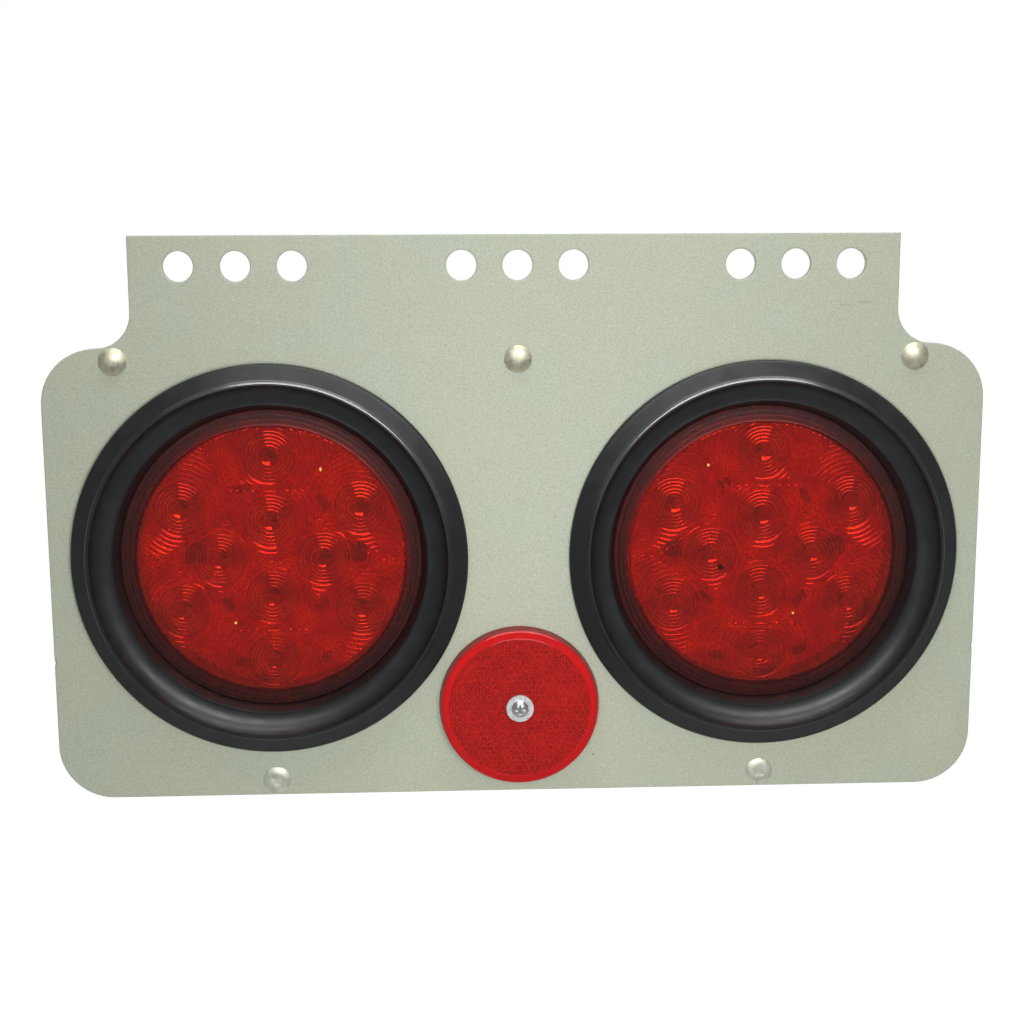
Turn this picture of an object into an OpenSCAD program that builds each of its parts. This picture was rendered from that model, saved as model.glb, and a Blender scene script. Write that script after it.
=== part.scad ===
// Trailer light module: a painted steel plate that bolts up by its neck and carries two
// round LED stop and tail lamps in rubber grommets, and a round reflector between them.
// X runs to the right, Y to the back and Z up. The origin is the middle bolt hole of the
// neck, on the back face of the plate, where the plate meets what carries it.
// The lamp's flange sets the size of grommet, panel hole and lower body; the row of bolt
// holes sets the width of the neck.

/* [Bolt holes and neck] */
// Diameter of the bolt holes
bolt_hole_d = 10.3; // [8:0.1:12]
// Distance from the top edge to the row of bolt holes
bolt_row_drop = 10.3; // [8:0.1:14]
// Distance between neighbouring bolt holes of one group
bolt_pitch = 19.05; // [16:0.05:22]
// Distance between the middle holes of neighbouring groups
group_pitch = 95.25; // [85:0.25:105]
// Distance from the middle of the outermost bolt hole to the side of the neck
neck_margin = 16.7; // [12:0.1:20]
// Depth of the neck, from its top edge down to the shoulders
neck_h = 37.6; // [34:0.2:42]

/* [Plate] */
// Thickness of the painted plate
plate_t = 3; // [2:0.25:4]
// Radius of the four outer corners
corner_r = 19; // [12:0.5:24]
// Radius of the hollow between the neck and each shoulder
hollow_r = 12; // [6:0.5:16]
// Distance between the flanges of the two grommets
lamp_gap = 35.2; // [32:0.2:60]
// Distance from a grommet's flange to the side edge
side_margin = 7.6; // [5:0.2:20]
// Distance from a grommet's flange up to the shoulder
shoulder_margin = 5.3; // [4:0.1:15]
// Distance from a grommet's flange down to the bottom edge
foot_margin = 16.3; // [14:0.1:25]
// Thickness of the backing plate
backing_t = 1.5; // [1:0.25:2.5]
// Distance that the backing plate stays inside the outline of the lower body
backing_inset = 1; // [0.5:0.25:2]
// Gap between the backing plate and the bead of a grommet
backing_gap = 2; // [1:0.25:4]

/* [Lamp lens] */
// Diameter of the lamp's flange, which sits in the grommet
lamp_flange_d = 108.4; // [96:0.1:120]
// Thickness of the lens at its flange
lens_flange_t = 2.5; // [2:0.1:3]
// Width of the lens flange outside the part that comes through the lip
lens_flange_w = 2; // [1.5:0.1:3]
// Width of the stepped margin round the lens face
margin_w = 4.7; // [3:0.1:6]
// Number of steps in the margin of the lens
margin_steps = 3; // [2:1:4]
// Height of the lens face above the lens flange
face_rise = 3.7; // [2.5:0.1:5]
// Thickness of the lens behind its face
face_t = 2.2; // [1.6:0.1:2.6]
// Diameter of the raised disc of optics in front of one LED
optic_d = 18.5; // [16:0.5:21]
// Height of the disc above the coarse rings
optic_raise = 0.6; // [0.3:0.1:1]
// Diameter of the bull's eye in the middle of the disc
eye_d = 6; // [4:0.5:8]
// Height of the bull's eye
eye_h = 0.9; // [0.5:0.1:1.2]
// Number of fine rings between the bull's eye and the edge of the disc
optic_rings = 5; // [3:1:6]
// Height of the teeth of the fine rings
fine_tooth = 0.6; // [0.3:0.1:0.9]
// Distance between the coarse rings outside the disc
coarse_pitch = 1.7; // [1.4:0.1:2.5]
// Height of the teeth of the coarse rings
coarse_tooth = 0.8; // [0.4:0.1:1.2]

/* [Grommet] */
// Rubber between the lamp's flange and the edge of the panel hole
groove_wall = 2.75; // [2:0.05:4]
// Width of the front flange outside the panel hole
flange_w = 11.25; // [9:0.05:14]
// Height of the flange's rounded outer edge
flange_edge_h = 2.2; // [1.5:0.1:3]
// Distance of the ridge from the outer edge of the flange
ridge_set = 6; // [4:0.1:8]
// Height of the ridge in front of the plate
ridge_h = 6; // [4.5:0.25:7]
// Radius of the hollow slope from the ridge down to the lamp
slope_r = 7.3; // [6.8:0.1:7.8]
// Thickness of the lip in front of the lamp, from the plate's front face back
lip_set = 4.6; // [3.5:0.1:6]
// Gap between that lip and the lens that comes through it
lip_gap = 0.2; // [0.1:0.05:0.5]
// Width of the rear bead behind the plate, outside the panel hole
bead_w = 3.55; // [2.5:0.05:4.5]
// Length of the grommet behind the plate
bead_h = 11.5; // [10.5:0.5:14]
// Gap between the grommet's rear lip and the lamp's housing
tail_gap = 0.3; // [0.1:0.05:0.6]

/* [LEDs] */
// Distance from the inner wall of the housing to the six outer LEDs
led_wall_gap = 11.1; // [10:0.1:14]
// Distance from the lamp centre to the LEDs left and right of it
led_side_r = 18; // [17:0.25:19]
// Distance from the lamp centre to the LEDs above and below it
led_mid_r = 13.5; // [12.5:0.25:14]
// Side of the square LED body
led_w = 7.6; // [5:0.1:8]
// Height of the LED body
led_body_h = 2.6; // [2:0.1:3.5]
// Diameter of the LED's clear dome
led_dome_d = 4.6; // [3:0.1:5]
// Straight foot of that dome
led_foot_h = 1; // [0.5:0.1:1.5]
// Distance from the inner wall of the housing to the small diodes
diode_wall_gap = 5.1; // [4:0.1:7]
// Distance from the side LEDs out to the two large diodes
diode_led_gap = 4; // [3:0.1:5]
// Distance from the inner wall of the housing to the resistors
resistor_wall_gap = 21.6; // [20:0.1:23]

/* [Lamp housing] */
// Width of the housing's flange outside its body
housing_flange_w = 3.9; // [3:0.1:5]
// Thickness of the housing's flange
housing_flange_t = 2.5; // [2:0.1:3]
// Wall of the housing
housing_wall = 3.2; // [2.4:0.1:3.6]
// Depth of the housing behind its flange
housing_h = 20; // [18:0.5:24]
// Draft of the housing, as the loss in radius down to its back
housing_draft = 1.3; // [0.5:0.1:1.6]
// Bevel round the back of the housing
back_bevel = 1; // [0.4:0.1:1.5]
// Height of the circuit board above the floor of the housing
board_rise = 6.3; // [5.5:0.1:8]
// Width of the ledge that carries the circuit board
board_ledge = 2; // [1.5:0.1:2.5]
// Thickness of the circuit board
board_t = 1.6; // [1:0.1:2]
// Width of the socket's recess
socket_w = 31; // [28:0.5:36]
// Height of the socket's recess
socket_h = 14; // [12:0.5:18]
// Radius of the corners of the socket's recess
socket_corner_r = 3; // [1.5:0.5:4]
// Wall round the socket
socket_wall = 2.4; // [2:0.1:3]
// Gap between the socket and the circuit board
socket_gap = 2.1; // [1:0.1:4]
// Length of the socket outside the back of the housing
socket_out = 8; // [6:0.5:12]
// Number of ribs on the back of the housing
back_ribs = 12; // [8:4:16]
// Thickness of one rib
rib_t = 1.8; // [1.2:0.1:2.5]
// Height of the ribs
rib_h = 2.5; // [1.5:0.1:4]
// Distance of the ribs from the socket's side and from the edge of the housing's back
rib_gap = 2; // [1:0.1:3]
// Diameter of a contact pin
pin_d = 2.4; // [2:0.1:3]
// Distance between neighbouring contact pins
pin_pitch = 8.5; // [7.5:0.1:9.5]
// Length of a contact pin inside the socket
pin_out = 9; // [7:0.5:11]
// Diameter of a pin's tail through the circuit board
pin_tail_d = 1.2; // [0.8:0.1:1.6]
// Length of that tail in front of the circuit board
pin_tail_out = 0.8; // [0.4:0.1:1.5]

/* [Rivets] */
// Diameter of a rivet's domed head
rivet_head_d = 9.5; // [8:0.1:10.5]
// Height of the dome
rivet_head_h = 2.3; // [1.5:0.1:3]
// Diameter of the rivet's shank
rivet_d = 4.8; // [4:0.1:5.5]
// Diameter of the head that is set behind the backing plate
rivet_tail_d = 6.8; // [6.2:0.1:8]
// Thickness of that set head
rivet_tail_h = 2; // [1.5:0.1:3]
// Distance of the upper side rivets from the side edge
shoulder_rivet_inset = 24.7; // [20:0.1:28]
// Distance of the upper rivets below the shoulder line
shoulder_rivet_drop = 4.4; // [3.8:0.1:6]
// Distance of the lower rivets above the bottom edge
foot_rivet_rise = 5.6; // [4.8:0.1:7]

/* [Reflector] */
// Diameter of the reflector at its foot
reflector_d = 56.6; // [48:0.2:58]
// Height of the reflector in front of the plate
reflector_h = 5.5; // [4.8:0.1:7]
// Distance of the reflector's centre above the bottom edge
reflector_rise = 32; // [31:0.2:34]
// Width of the smooth border round the prism field
reflector_border = 2.8; // [2.2:0.1:4]
// Step between the border and the prism field
reflector_step = 0.4; // [0.2:0.1:0.8]
// Side slope of the reflector, as the loss in radius up to its face
reflector_draft = 0.7; // [0.3:0.1:1.2]
// Radius of the rounded edge round the reflector's face
reflector_edge_r = 0.8; // [0.4:0.1:1.2]
// Thickness of the reflector lens in the prism field
reflector_face_t = 2; // [1.5:0.1:2.5]
// Thickness of the reflector's back disc
reflector_back_t = 1.6; // [1:0.1:2]
// Width of the reflector lens round its back disc
reflector_skirt = 2; // [1.2:0.1:2.6]
// Diameter of the screw through the reflector
screw_d = 3.5; // [3:0.1:4]
// Diameter of the screw's head
screw_head_d = 6.4; // [5.6:0.1:7.5]
// Height of the screw's head
screw_head_h = 2.2; // [1.6:0.1:3]
// Width of the slots of the cross recess
cross_w = 1; // [0.7:0.1:1.3]
// Length of those slots
cross_l = 3.6; // [3:0.1:4.2]
// Depth of the cross recess
cross_depth = 1.2; // [0.8:0.1:1.6]
// Outer diameter of the two washers
washer_d = 9.5; // [8.5:0.1:11]
// Thickness of a washer
washer_t = 1; // [0.6:0.1:1.4]
// Width across the flats of the nut
nut_w = 7.9; // [7:0.1:9]
// Height of the nut
nut_h = 2.8; // [2.2:0.1:3.5]
// Length of the screw past the nut
screw_past = 1.4; // [0.8:0.1:2.5]

/* [Hidden] */
// Gap round a shank or pin in its hole
shank_gap = 0.08;
// Gap round the lamp's flange in the grommet and round the grommet in the plate
rubber_gap = 0.1;
// Gap round the circuit board, the back disc and the screw in the plastic
seat_gap = 0.15;
// Small overlap that joins shapes of one piece
bite = 0.5;
// Roundings and edges of the grommet
ridge_tip_r = 0.7;
mouth_h = 0.6;
lip_edge_h = 0.8;
bead_edge_h = 2;
// Height at which the lens hollow leaves its side wall, below the lens flange's front
lens_side_rise = 0.4;
// Depth of a ring optic's tooth at its shallow edge
tooth_foot = 0.1;
// Width of the groove between the cells of neighbouring LEDs
cell_gap = 0.2;
// Room between the prism field and the wall that stands round it behind the reflector's face
field_gap = 0.5;
// Sizes of the chips on the board: along the radius, across it and in height
RESISTOR_SIZE = [3.2, 6.3, 0.7];
DIODE_SIZE = [2.6, 4.6, 2.2];
LARGE_DIODE_SIZE = [5.5, 6.5, 2.4];
$fn = 96;

// Radii of lamp and grommet, from the lamp's flange inwards and outwards
lamp_flange_r = lamp_flange_d / 2;
lens_r = lamp_flange_r - lens_flange_w;
face_r = lens_r - margin_w;
housing_r = lamp_flange_r - housing_flange_w;
cavity_r = housing_r - housing_wall;
lip_r = lens_r + lip_gap;
tail_lip_r = housing_r + tail_gap;
groove_r = lamp_flange_r + rubber_gap + groove_wall;
panel_hole_r = groove_r + rubber_gap;
bead_r = panel_hole_r + bead_w;
flange_r = panel_hole_r + flange_w;
ridge_r = flange_r - ridge_set;
mouth_r = ridge_r - ridge_tip_r - slope_r;

// Levels in front of the plate's front face; behind it they are below zero
back_level = -plate_t;
backing_level = back_level - backing_t;
lens_level = -lip_set;
face_level = lens_level + face_rise;
weld_level = lens_level - lens_flange_t;
housing_flange_level = weld_level - housing_flange_t;
housing_back_level = housing_flange_level - housing_h;
housing_floor_level = housing_back_level + housing_wall;
board_level = housing_floor_level + board_rise;
led_level = board_level + board_t;
socket_floor_level = board_level - socket_gap - socket_wall;
socket_mouth_level = housing_back_level - socket_out;
pin_mouth_level = socket_floor_level - pin_out;

// Sizes of the plate that follow from lamps, margins and bolt holes
lamp_pitch = 2 * flange_r + lamp_gap;
plate_w = lamp_pitch + 2 * (flange_r + side_margin);
neck_w = 2 * (group_pitch + bolt_pitch + neck_margin);

// Heights in the plane of the plate, from the row of bolt holes
top_edge = bolt_row_drop;
shoulder_line = top_edge - neck_h;
lamp_z = shoulder_line - shoulder_margin - flange_r;
bottom_edge = lamp_z - flange_r - foot_margin;
reflector_z = bottom_edge + reflector_rise;

// The shoulder's two curves share the ledge between neck and body
ledge_w = (plate_w - neck_w) / 2;
corner_fit_r = min(corner_r, ledge_w - 2);
hollow_fit_r = min(hollow_r, ledge_w - corner_fit_r);

RIVET_SPOTS = [
    [-plate_w / 2 + shoulder_rivet_inset, shoulder_line - shoulder_rivet_drop],
    [0, shoulder_line - shoulder_rivet_drop],
    [plate_w / 2 - shoulder_rivet_inset, shoulder_line - shoulder_rivet_drop],
    [-lamp_pitch / 2, bottom_edge + foot_rivet_rise],
    [lamp_pitch / 2, bottom_edge + foot_rivet_rise],
];

// Places of the ten LEDs of one lamp, which its ring optics share
led_outer_r = cavity_r - led_wall_gap;
function led_circle(count, r, start) =
    [for (i = [0 : count - 1]) r * [cos(start + i * 360 / count), sin(start + i * 360 / count)]];
LED_SPOTS = concat(led_circle(6, led_outer_r, 90), led_circle(2, led_side_r, 0),
    led_circle(2, led_mid_r, 90));
RESISTOR_ANGLES = [44, 115, 227, 310];
DIODE_ANGLES = [254, 293];
LARGE_DIODE_ANGLES = [0, 180];
PIN_SPOTS = [for (i = [-1 : 1]) [i * pin_pitch, 0]];

// An optic's rings reach its cell's farthest corner, on the rim between two outer LEDs
optic_rim_r = cavity_r - bite;
cell_reach = sqrt(pow(optic_rim_r, 2) + pow(led_outer_r, 2)
    - 2 * optic_rim_r * led_outer_r * cos(30));
optic_level = face_level - face_t;

PLATE_COLOR = [0.73, 0.76, 0.69];
ZINC_COLOR = [0.72, 0.73, 0.72];
RUBBER_COLOR = [0.13, 0.13, 0.14];
HOUSING_COLOR = [0.09, 0.09, 0.1];
LENS_COLOR = [0.7, 0.06, 0.05];
BOARD_COLOR = [0.9, 0.9, 0.86];
LED_COLOR = [0.85, 0.8, 0.78];
BRASS_COLOR = [0.78, 0.62, 0.3];
RIVET_COLOR = [0.83, 0.83, 0.8];

// Turns a drawing of the front view into place: its X stays, its Y becomes the part's Z,
// and its Z is the distance in front of the plate's front face.
module front_view() {
    translate([0, -plate_t, 0]) rotate([90, 0, 0]) children();
}

// Front view with the lamp's centre as origin; side is -1 on the left and 1 on the right
module at_lamp(side) {
    front_view() translate([side * lamp_pitch / 2, lamp_z, 0]) children();
}

module at_reflector() {
    front_view() translate([0, reflector_z, 0]) children();
}

// Rectangle from one corner to the other; in a section that is turned round its axis, the
// first two values are radii and the last two are levels
module span(x0, x1, y0, y1) {
    translate([x0, y0]) square([x1 - x0, y1 - y0]);
}

// Solid between two levels, from an outline
module between(low, high) {
    translate([0, 0, low]) linear_extrude(high - low) children();
}

module rounded_box(x0, x1, y0, y1, r) {
    span(x0 + r, x1 - r, y0, y1);
    span(x0, x1, y0 + r, y1 - r);
    for (x = [x0 + r, x1 - r], y = [y0 + r, y1 - r]) translate([x, y]) circle(r);
}

// Section of a low dome on a flat foot
module dome_section(d, h) {
    dome_r = (pow(d / 2, 2) + pow(h, 2)) / (2 * h);
    intersection() {
        translate([0, h - dome_r]) circle(dome_r);
        span(0, d / 2, 0, h);
    }
}

// Lower body of the plate, drawn in by an inset
module body_outline(inset) {
    rounded_box(-plate_w / 2 + inset, plate_w / 2 - inset,
        bottom_edge + inset, shoulder_line - inset, corner_fit_r - inset);
}

// Hollow that leads from the neck's side onto the right shoulder
module shoulder_hollow() {
    difference() {
        span(neck_w / 2 - bite, neck_w / 2 + hollow_fit_r,
            shoulder_line - bite, shoulder_line + hollow_fit_r);
        translate([neck_w / 2 + hollow_fit_r, shoulder_line + hollow_fit_r]) circle(hollow_fit_r);
    }
}

module plate_outline() {
    body_outline(0);
    span(-neck_w / 2, neck_w / 2, shoulder_line - corner_fit_r, top_edge);
    shoulder_hollow();
    mirror([1, 0]) shoulder_hollow();
}

module fastener_holes() {
    for (spot = RIVET_SPOTS) translate(spot) circle(rivet_d / 2 + shank_gap);
    translate([0, reflector_z]) circle(screw_d / 2 + shank_gap);
}

module lamp_holes(r) {
    for (side = [-1, 1]) translate([side * lamp_pitch / 2, lamp_z]) circle(r);
}

module mounting_plate() {
    color(PLATE_COLOR) front_view() between(back_level, 0) difference() {
        plate_outline();
        for (group = [-1 : 1], hole = [-1 : 1])
            translate([group * group_pitch + hole * bolt_pitch, 0]) circle(bolt_hole_d / 2);
        lamp_holes(panel_hole_r);
        fastener_holes();
    }
}

// Flat steel frame behind the lower body; the grommets' beads pass through it
module backing_plate() {
    color(ZINC_COLOR) front_view() between(backing_level, back_level) difference() {
        body_outline(backing_inset);
        lamp_holes(bead_r + backing_gap);
        fastener_holes();
    }
}

// Dome head, shank through both plates, and the head set behind them
module rivet(index) {
    tail_low = backing_level - rivet_tail_h;
    color(RIVET_COLOR) front_view() translate(RIVET_SPOTS[index]) rotate_extrude() {
        dome_section(rivet_head_d, rivet_head_h);
        span(0, rivet_d / 2, backing_level - bite, bite);
        difference() {
            span(0, rivet_tail_d / 2, tail_low, backing_level);
            translate([rivet_tail_d / 2, tail_low]) rotate(45)
                square(rivet_tail_h * 0.5, center = true);
        }
    }
}

// Section of the grommet: front flange with its ridge and hollow slope, lip in front of the
// lamp, groove round the lamp's flange, groove round the plate's hole and the rear bead
module grommet_section() {
    edge_r = flange_edge_h / 2;
    lamp_groove_low = housing_flange_level - rubber_gap;
    tail_level = back_level - bead_h;
    difference() {
        union() {
            polygon([
                [tail_lip_r, tail_level], [groove_r, tail_level],
                [bead_r, back_level - bead_edge_h], [bead_r, back_level],
                [groove_r, back_level], [groove_r, 0],
                [flange_r - edge_r, 0], [flange_r - edge_r, flange_edge_h],
                [ridge_r, ridge_h - ridge_tip_r], [ridge_r - ridge_tip_r, ridge_h - ridge_tip_r],
                [ridge_r - ridge_tip_r, ridge_h], [tail_lip_r, ridge_h],
            ]);
            translate([flange_r - edge_r, edge_r]) circle(edge_r);
            translate([ridge_r - ridge_tip_r, ridge_h - ridge_tip_r]) circle(ridge_tip_r);
        }
        translate([mouth_r, mouth_h + slope_r]) circle(slope_r);
        span(0, mouth_r, mouth_h, ridge_h + slope_r);
        polygon([
            [0, mouth_h + bite], [mouth_r, mouth_h + bite], [mouth_r, mouth_h],
            [lip_r, lens_level + lip_edge_h], [lip_r, lens_level - bite],
            [0, lens_level - bite],
        ]);
        span(0, lamp_flange_r + rubber_gap, lamp_groove_low, lens_level);
    }
}

module grommet(side) {
    color(RUBBER_COLOR) at_lamp(side) rotate_extrude() grommet_section();
}

// Outer section of the lens: flange, stepped margin and flat face
module lens_outside() {
    span(0, lamp_flange_r, weld_level, lens_level);
    for (step = [0 : margin_steps - 1])
        span(0, lens_r - step * margin_w / margin_steps,
            weld_level, lens_level + (step + 1) * face_rise / (margin_steps + 1));
    span(0, face_r, weld_level, face_level);
}

// Hollow behind the face, which leaves the side of the lens as thick as its face
module lens_inside() {
    rim_r = lens_r - face_t;
    polygon([
        [0, weld_level - bite], [rim_r, weld_level - bite], [rim_r, lens_level - lens_side_rise],
        [cavity_r, optic_level], [0, optic_level],
    ]);
}

// The part of the lens that lies nearer to one LED than to another
module nearer(own, other) {
    way = other - own;
    translate(own + way / 2) rotate(atan2(way.y, way.x))
        translate([-cell_gap / 2 - lens_r, -lens_r]) square([lens_r, 2 * lens_r]);
}

// The cell of one LED, up to its neighbours' cells and the rim of the lens
module optic_cell(index) {
    intersection() {
        circle(optic_rim_r);
        intersection_for(other = [for (i = [0 : len(LED_SPOTS) - 1]) if (i != index) i])
            nearer(LED_SPOTS[index], LED_SPOTS[other]);
    }
}

// Section of toothed rings round one LED; inner_h and outer_h are the heights of each tooth
// at its inner and its outer edge
module toothed_rings(from_r, to_r, pitch, top, inner_h, outer_h) {
    for (r = [from_r : pitch : to_r - pitch / 2]) polygon([
        [r, bite], [r, top - inner_h], [r + pitch, top - outer_h], [r + pitch, bite],
    ]);
}

// Optic of one LED behind the lens face: a bull's eye, fine rings on a raised disc, which
// deepen outwards, and coarse rings that fill the LED's cell and deepen towards the LED
module ring_optic(index) {
    fine_pitch = (optic_d - eye_d) / 2 / optic_rings;
    depth = max(optic_raise + max(eye_h, fine_tooth), coarse_tooth);
    intersection() {
        translate(LED_SPOTS[index]) rotate_extrude() {
            translate([0, -optic_raise]) mirror([0, 1]) dome_section(eye_d, eye_h);
            span(0, eye_d / 2, -optic_raise, bite);
            toothed_rings(eye_d / 2, optic_d / 2, fine_pitch, -optic_raise,
                tooth_foot, fine_tooth);
            toothed_rings(optic_d / 2, cell_reach, coarse_pitch, 0, coarse_tooth, tooth_foot);
        }
        between(-depth, bite) optic_cell(index);
    }
}

module lamp_lens(side) {
    color(LENS_COLOR) at_lamp(side) {
        rotate_extrude() difference() {
            lens_outside();
            lens_inside();
        }
        translate([0, 0, optic_level]) for (index = [0 : len(LED_SPOTS) - 1]) ring_optic(index);
    }
}

module socket_outline(grow) {
    rounded_box(-socket_w / 2 - grow, socket_w / 2 + grow,
        -socket_h / 2 - grow, socket_h / 2 + grow, socket_corner_r + grow);
}

// Moulded cup with a flange at the front, a ledge for the board and ribs and a socket behind
module housing(side) {
    back_r = housing_r - housing_draft;
    rib_start = socket_w / 2 + socket_wall + rib_gap;
    rib_end = back_r - back_bevel - rib_gap;
    color(HOUSING_COLOR) at_lamp(side) difference() {
        union() {
            rotate_extrude() difference() {
                union() {
                    span(0, lamp_flange_r, housing_flange_level, weld_level);
                    polygon([
                        [0, housing_flange_level], [housing_r, housing_flange_level],
                        [back_r, housing_back_level + back_bevel],
                        [back_r - back_bevel, housing_back_level], [0, housing_back_level],
                    ]);
                }
                span(0, cavity_r, board_level, weld_level + bite);
                span(0, cavity_r - board_ledge, housing_floor_level, board_level + bite);
            }
            between(socket_mouth_level, socket_floor_level + socket_wall)
                socket_outline(socket_wall);
            for (i = [0 : back_ribs - 1]) rotate(i * 360 / back_ribs)
                between(housing_back_level - rib_h, housing_back_level + bite)
                    span(rib_start, rib_end, -rib_t / 2, rib_t / 2);
        }
        between(socket_mouth_level - bite, socket_floor_level) socket_outline(0);
        for (spot = PIN_SPOTS) translate(spot)
            between(socket_floor_level - bite, socket_floor_level + socket_wall + bite)
                circle(pin_d / 2 + shank_gap);
    }
}

module circuit_board(side) {
    color(BOARD_COLOR) at_lamp(side) between(board_level, led_level) difference() {
        circle(cavity_r - seat_gap);
        for (spot = PIN_SPOTS) translate(spot) circle(pin_tail_d / 2 + shank_gap);
    }
}

// Square LED body with a clear dome on a straight foot
module led() {
    foot_top = led_body_h + led_foot_h;
    between(0, led_body_h) square(led_w, center = true);
    rotate_extrude() {
        span(0, led_dome_d / 2, 0, foot_top);
        intersection() {
            translate([0, foot_top]) circle(led_dome_d / 2);
            span(0, led_dome_d / 2, 0, foot_top + led_dome_d / 2);
        }
    }
}

module leds(side) {
    color(LED_COLOR) at_lamp(side)
        for (spot = LED_SPOTS) translate([spot.x, spot.y, led_level]) led();
}

// Chips of one size on a circle round the lamp's centre, standing on the circuit board
module chips(side, size, r, angles) {
    at_lamp(side) for (angle = angles) rotate(angle)
        translate([r, 0, led_level + size.z / 2]) cube(size, center = true);
}

module resistors(side) {
    color("black") chips(side, RESISTOR_SIZE, cavity_r - resistor_wall_gap, RESISTOR_ANGLES);
}

// Two small diodes at the wall of the housing, two large ones beside the side LEDs
module diodes(side) {
    large_r = led_side_r + led_w / 2 + diode_led_gap + LARGE_DIODE_SIZE.x / 2;
    color("dimgray") {
        chips(side, DIODE_SIZE, cavity_r - diode_wall_gap, DIODE_ANGLES);
        chips(side, LARGE_DIODE_SIZE, large_r, LARGE_DIODE_ANGLES);
    }
}

// Pin with a thin tail through the board and a rounded end in the socket
module contact_pins(side) {
    pin_r = pin_d / 2;
    color(BRASS_COLOR) at_lamp(side) for (spot = PIN_SPOTS) translate(spot) rotate_extrude() {
        span(0, pin_r, pin_mouth_level + pin_r, board_level);
        intersection() {
            translate([0, pin_mouth_level + pin_r]) circle(pin_r);
            span(0, pin_r, pin_mouth_level, pin_mouth_level + pin_d);
        }
        span(0, pin_tail_d / 2, board_level - bite, led_level + pin_tail_out);
    }
}

// Round red cap: side wall with draft, smooth border, raised prism field and a hollow back
module reflector_lens() {
    foot_r = reflector_d / 2;
    face_r = foot_r - reflector_draft;
    round_r = face_r - reflector_edge_r;
    field_r = face_r - reflector_border;
    border_level = reflector_h - reflector_step;
    color(LENS_COLOR) at_reflector() rotate_extrude() difference() {
        union() {
            polygon([
                [0, 0], [foot_r, 0], [face_r, border_level - reflector_edge_r],
                [round_r, border_level], [0, border_level],
            ]);
            translate([round_r, border_level - reflector_edge_r]) circle(reflector_edge_r);
            span(0, field_r, 0, reflector_h);
        }
        span(0, foot_r - reflector_skirt, -bite, reflector_back_t);
        span(washer_d / 2, field_r + field_gap, 0, reflector_h - reflector_face_t);
        span(0, screw_d / 2 + seat_gap, -bite, reflector_h + bite);
    }
}

module reflector_back() {
    color("darkred") at_reflector() between(0, reflector_back_t) difference() {
        circle(reflector_d / 2 - reflector_skirt - seat_gap);
        circle(screw_d / 2 + seat_gap);
    }
}

module washer(low) {
    color(ZINC_COLOR) at_reflector() between(low, low + washer_t) difference() {
        circle(washer_d / 2);
        circle(screw_d / 2 + seat_gap);
    }
}

// Pan head with a cross recess, and a plain shank down to its end behind the nut
module reflector_screw() {
    head_level = reflector_h + washer_t;
    end_level = backing_level - washer_t - nut_h - screw_past;
    head_top = head_level + screw_head_h;
    color(RIVET_COLOR) at_reflector() difference() {
        rotate_extrude() {
            translate([0, head_level]) dome_section(screw_head_d, screw_head_h);
            span(0, screw_d / 2, end_level, head_level + bite);
        }
        between(head_top - cross_depth, head_top + bite) {
            square([cross_l, cross_w], center = true);
            square([cross_w, cross_l], center = true);
        }
    }
}

module reflector_nut() {
    low = backing_level - washer_t - nut_h;
    color(ZINC_COLOR) at_reflector() between(low, low + nut_h) difference() {
        circle(nut_w / sqrt(3), $fn = 6);
        circle(screw_d / 2 + shank_gap);
    }
}

mounting_plate();
backing_plate();
rivet(0);  // rivet_top_left
rivet(1);  // rivet_top_centre
rivet(2);  // rivet_top_right
rivet(3);  // rivet_bottom_left
rivet(4);  // rivet_bottom_right
grommet(-1);  // grommet_left
lamp_lens(-1);  // lens_left
housing(-1);  // housing_left
circuit_board(-1);  // circuit_board_left
leds(-1);  // leds_left
resistors(-1);  // resistors_left
diodes(-1);  // diodes_left
contact_pins(-1);  // contact_pins_left
grommet(1);  // grommet_right
lamp_lens(1);  // lens_right
housing(1);  // housing_right
circuit_board(1);  // circuit_board_right
leds(1);  // leds_right
resistors(1);  // resistors_right
diodes(1);  // diodes_right
contact_pins(1);  // contact_pins_right
reflector_lens();
reflector_back();
washer(reflector_h);  // reflector_washer
reflector_screw();
washer(backing_level - washer_t);  // reflector_rear_washer
reflector_nut();
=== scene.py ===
# %% [markdown]
# # A trailer light module
# A painted steel plate hangs by nine bolt holes in its neck. It carries two round LED lamps,
# each in a rubber grommet, and a red reflector held by a screw. The solids come from the CAD
# model and stay where they are. This script gives every piece its surface and its finish,
# lights the whole and sets the camera.

# %% Load the frame
import math

import bmesh
import bpy
import numpy as np
from mathutils import Matrix, Vector
from mathutils.geometry import tessellate_polygon


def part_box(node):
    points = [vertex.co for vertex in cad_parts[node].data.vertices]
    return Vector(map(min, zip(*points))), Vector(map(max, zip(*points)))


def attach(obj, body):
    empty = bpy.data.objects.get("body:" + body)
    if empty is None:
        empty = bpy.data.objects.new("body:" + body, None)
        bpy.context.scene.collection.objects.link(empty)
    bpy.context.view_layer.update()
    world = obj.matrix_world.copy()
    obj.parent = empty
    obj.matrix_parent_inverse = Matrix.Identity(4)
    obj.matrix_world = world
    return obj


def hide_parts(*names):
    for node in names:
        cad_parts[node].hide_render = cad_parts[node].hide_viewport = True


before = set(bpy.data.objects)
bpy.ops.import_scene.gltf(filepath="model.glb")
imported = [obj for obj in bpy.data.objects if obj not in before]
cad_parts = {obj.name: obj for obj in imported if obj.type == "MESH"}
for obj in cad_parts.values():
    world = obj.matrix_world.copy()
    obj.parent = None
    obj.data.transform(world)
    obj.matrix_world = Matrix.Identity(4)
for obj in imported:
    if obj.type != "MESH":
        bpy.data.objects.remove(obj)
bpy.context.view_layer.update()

MM = 0.001

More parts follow.
